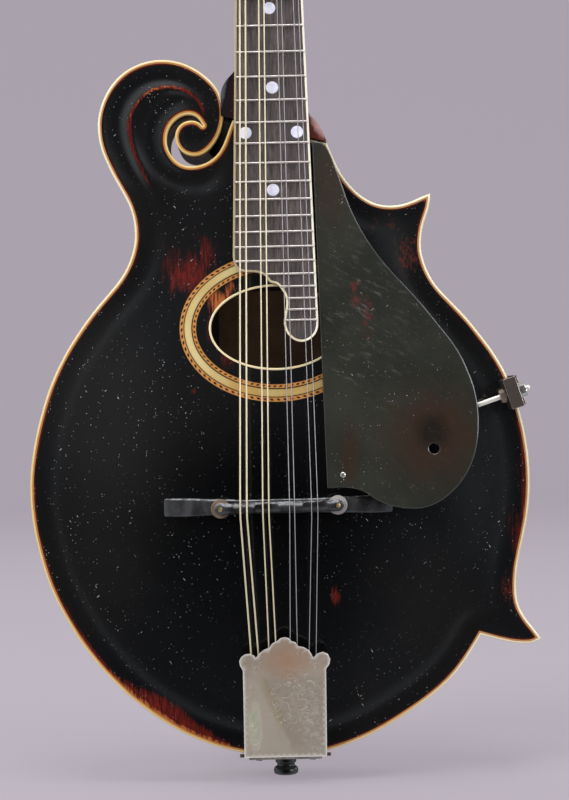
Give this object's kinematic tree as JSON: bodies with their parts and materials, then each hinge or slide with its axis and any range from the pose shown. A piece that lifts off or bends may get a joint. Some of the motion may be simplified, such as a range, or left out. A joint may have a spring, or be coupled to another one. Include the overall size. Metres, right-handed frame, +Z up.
{
  "type": "mandolin",
  "caption": "Carved scroll-body mandolin with an oval soundhole, raised finger rest on a side clamp, height-adjustable bridge, sliding tailpiece cover and worm-geared tuners.",
  "frame": {"origin": "centre of the end pin's outer face", "axes": "+Z up the neck towards the headstock, +X towards the treble side, -Y out of the soundboard"},
  "size_m": [0.2517, 0.0981, 0.6365],
  "materials": {
    "black_lacquer": "glossy black lacquer over carved spruce, worn red and bare in places",
    "red_brown_lacquer": "glossy dark red-brown varnish over maple and mahogany",
    "ivory_celluloid": "yellowed ivory-coloured celluloid",
    "rope_marquetry": "rope and ring inlay under lacquer",
    "spruce": "bare",
    "maple_block": "bare",
    "ebony": "satin",
    "bone": "polished",
    "paper": "aged paper",
    "tortoise_celluloid": "polished dark mottled celluloid",
    "nickel": "tarnished nickel plate",
    "brass": "dull",
    "bronze_winding": "wound",
    "plain_steel": "drawn wire",
    "button_celluloid": "aged ivory-coloured celluloid"
  },
  "bodies": {
    "root": {"top_plate": "black_lacquer", "back_plate": "red_brown_lacquer", "ribs": "red_brown_lacquer", "top_binding": "ivory_celluloid", "back_binding": "ivory_celluloid", "soundhole_binding": "ivory_celluloid", "rosette_inlay": "rope_marquetry", "neck_block": "maple_block", "tail_block": "maple_block", "upper_point_block": "maple_block", "lower_point_block": "maple_block", "top_lining": "spruce", "back_lining": "spruce", "transverse_brace": "spruce", "paper_label": "paper", "neck": "red_brown_lacquer", "headstock_veneer": "ebony", "nut": "bone", "fretboard": "ebony", "fretboard_binding": "ivory_celluloid", "tailpiece_base": "nickel", "end_pin": "ebony", "bridge_base": "ebony", "bridge_post_bass": "brass", "bridge_post_treble": "brass", "finger_rest": "tortoise_celluloid", "guard_rod": "nickel", "clamp_inner_nut": "nickel", "tuner_plate_bass": "nickel", "tuner_plate_treble": "nickel", "string_g1": "bronze_winding", "string_g2": "bronze_winding", "string_d1": "bronze_winding", "string_d2": "bronze_winding", "string_a1": "plain_steel", "string_a2": "plain_steel", "string_e1": "plain_steel", "string_e2": "plain_steel"},
    "tailpiece_cover": {"tailpiece_cover": "nickel"},
    "saddle": {"bridge_saddle": "ebony"},
    "thumbwheel_bass": {"thumbwheel_bass": "nickel"},
    "thumbwheel_treble": {"thumbwheel_treble": "nickel"},
    "clamp": {"clamp_bracket": "nickel"},
    "clamp_nut": {"clamp_outer_nut": "nickel"},
    "knob_bass_1": {"tuner_knob_bass_1": "button_celluloid"},
    "post_bass_1": {"tuner_post_bass_1": "nickel"},
    "knob_bass_2": {"tuner_knob_bass_2": "button_celluloid"},
    "post_bass_2": {"tuner_post_bass_2": "nickel"},
    "knob_bass_3": {"tuner_knob_bass_3": "button_celluloid"},
    "post_bass_3": {"tuner_post_bass_3": "nickel"},
    "knob_bass_4": {"tuner_knob_bass_4": "button_celluloid"},
    "post_bass_4": {"tuner_post_bass_4": "nickel"},
    "knob_treble_1": {"tuner_knob_treble_1": "button_celluloid"},
    "post_treble_1": {"tuner_post_treble_1": "nickel"},
    "knob_treble_2": {"tuner_knob_treble_2": "button_celluloid"},
    "post_treble_2": {"tuner_post_treble_2": "nickel"},
    "knob_treble_3": {"tuner_knob_treble_3": "button_celluloid"},
    "post_treble_3": {"tuner_post_treble_3": "nickel"},
    "knob_treble_4": {"tuner_knob_treble_4": "button_celluloid"},
    "post_treble_4": {"tuner_post_treble_4": "nickel"}
  },
  "joints": [
    {"name": "saddle_height", "type": "slide", "parent": "root", "child": "saddle", "axis": [0, -1, 0], "range_m": [-0.0012, 0.002], "deforming": ["string_g1", "string_g2", "string_d1", "string_d2", "string_a1", "string_a2", "string_e1", "string_e2"]},
    {"name": "thumbwheel_bass_turn", "type": "hinge", "parent": "saddle", "child": "thumbwheel_bass", "pos_m": [-0.0289, -0.0419, 0.1371], "axis": [0, -1, 0], "range_deg": [-620, 1030]},
    {"name": "thumbwheel_treble_turn", "type": "hinge", "parent": "saddle", "child": "thumbwheel_treble", "pos_m": [0.0281, -0.0419, 0.1378], "axis": [0, -1, 0], "range_deg": [-620, 1030]},
    {"name": "tailpiece_cover_slide", "type": "slide", "parent": "root", "child": "tailpiece_cover", "axis": [0, -0.1676, 0.9859], "range_m": [0, 0.02]},
    {"name": "clamp_release", "type": "slide", "parent": "root", "child": "clamp", "axis": [0.9511, 0, 0.309], "range_m": [0, 0.002]},
    {"name": "clamp_nut_turn", "type": "hinge", "parent": "clamp", "child": "clamp_nut", "pos_m": [0.1176, -0.0361, 0.1913], "axis": [0.9511, 0, 0.309], "range_deg": [0, 1030]},
    {"name": "knob_bass_1_turn", "type": "hinge", "parent": "root", "child": "knob_bass_1", "pos_m": [-0.0175, 0.02114, 0.52683], "axis": [1, 0, 0], "continuous": true},
    {"name": "post_bass_1_turn", "type": "hinge", "parent": "root", "child": "post_bass_1", "pos_m": [-0.0175, 0.00141, 0.52458], "axis": [0, -0.9558, 0.294], "continuous": true},
    {"name": "knob_bass_2_turn", "type": "hinge", "parent": "root", "child": "knob_bass_2", "pos_m": [-0.0175, 0.02805, 0.54929], "axis": [1, 0, 0], "continuous": true},
    {"name": "post_bass_2_turn", "type": "hinge", "parent": "root", "child": "post_bass_2", "pos_m": [-0.0175, 0.00832, 0.54705], "axis": [0, -0.9558, 0.294], "continuous": true},
    {"name": "knob_bass_3_turn", "type": "hinge", "parent": "root", "child": "knob_bass_3", "pos_m": [-0.0175, 0.03496, 0.57176], "axis": [1, 0, 0], "continuous": true},
    {"name": "post_bass_3_turn", "type": "hinge", "parent": "root", "child": "post_bass_3", "pos_m": [-0.0175, 0.01523, 0.56951], "axis": [0, -0.9558, 0.294], "continuous": true},
    {"name": "knob_bass_4_turn", "type": "hinge", "parent": "root", "child": "knob_bass_4", "pos_m": [-0.0175, 0.04187, 0.59422], "axis": [1, 0, 0], "continuous": true},
    {"name": "post_bass_4_turn", "type": "hinge", "parent": "root", "child": "post_bass_4", "pos_m": [-0.0175, 0.02214, 0.59197], "axis": [0, -0.9558, 0.294], "continuous": true},
    {"name": "knob_treble_1_turn", "type": "hinge", "parent": "root", "child": "knob_treble_1", "pos_m": [0.0175, 0.02114, 0.52683], "axis": [1, 0, 0], "continuous": true},
    {"name": "post_treble_1_turn", "type": "hinge", "parent": "root", "child": "post_treble_1", "pos_m": [0.0175, 0.00141, 0.52458], "axis": [0, -0.9558, 0.294], "continuous": true},
    {"name": "knob_treble_2_turn", "type": "hinge", "parent": "root", "child": "knob_treble_2", "pos_m": [0.0175, 0.02805, 0.54929], "axis": [1, 0, 0], "continuous": true},
    {"name": "post_treble_2_turn", "type": "hinge", "parent": "root", "child": "post_treble_2", "pos_m": [0.0175, 0.00832, 0.54705], "axis": [0, -0.9558, 0.294], "continuous": true},
    {"name": "knob_treble_3_turn", "type": "hinge", "parent": "root", "child": "knob_treble_3", "pos_m": [0.0175, 0.03496, 0.57176], "axis": [1, 0, 0], "continuous": true},
    {"name": "post_treble_3_turn", "type": "hinge", "parent": "root", "child": "post_treble_3", "pos_m": [0.0175, 0.01523, 0.56951], "axis": [0, -0.9558, 0.294], "continuous": true},
    {"name": "knob_treble_4_turn", "type": "hinge", "parent": "root", "child": "knob_treble_4", "pos_m": [0.0175, 0.04187, 0.59422], "axis": [1, 0, 0], "continuous": true},
    {"name": "post_treble_4_turn", "type": "hinge", "parent": "root", "child": "post_treble_4", "pos_m": [0.0175, 0.02214, 0.59197], "axis": [0, -0.9558, 0.294], "continuous": true}
  ],
  "couplings": [
    {"joint": "thumbwheel_bass_turn", "follows": "saddle_height", "rad_per_m": 8976},
    {"joint": "thumbwheel_treble_turn", "follows": "saddle_height", "rad_per_m": 8976},
    {"joint": "clamp_nut_turn", "follows": "clamp_release", "rad_per_m": 8976},
    {"joint": "post_bass_1_turn", "follows": "knob_bass_1_turn", "ratio": 0.071429},
    {"joint": "post_bass_2_turn", "follows": "knob_bass_2_turn", "ratio": 0.071429},
    {"joint": "post_bass_3_turn", "follows": "knob_bass_3_turn", "ratio": 0.071429},
    {"joint": "post_bass_4_turn", "follows": "knob_bass_4_turn", "ratio": 0.071429},
    {"joint": "post_treble_1_turn", "follows": "knob_treble_1_turn", "ratio": 0.071429},
    {"joint": "post_treble_2_turn", "follows": "knob_treble_2_turn", "ratio": 0.071429},
    {"joint": "post_treble_3_turn", "follows": "knob_treble_3_turn", "ratio": 0.071429},
    {"joint": "post_treble_4_turn", "follows": "knob_treble_4_turn", "ratio": 0.071429}
  ]
}
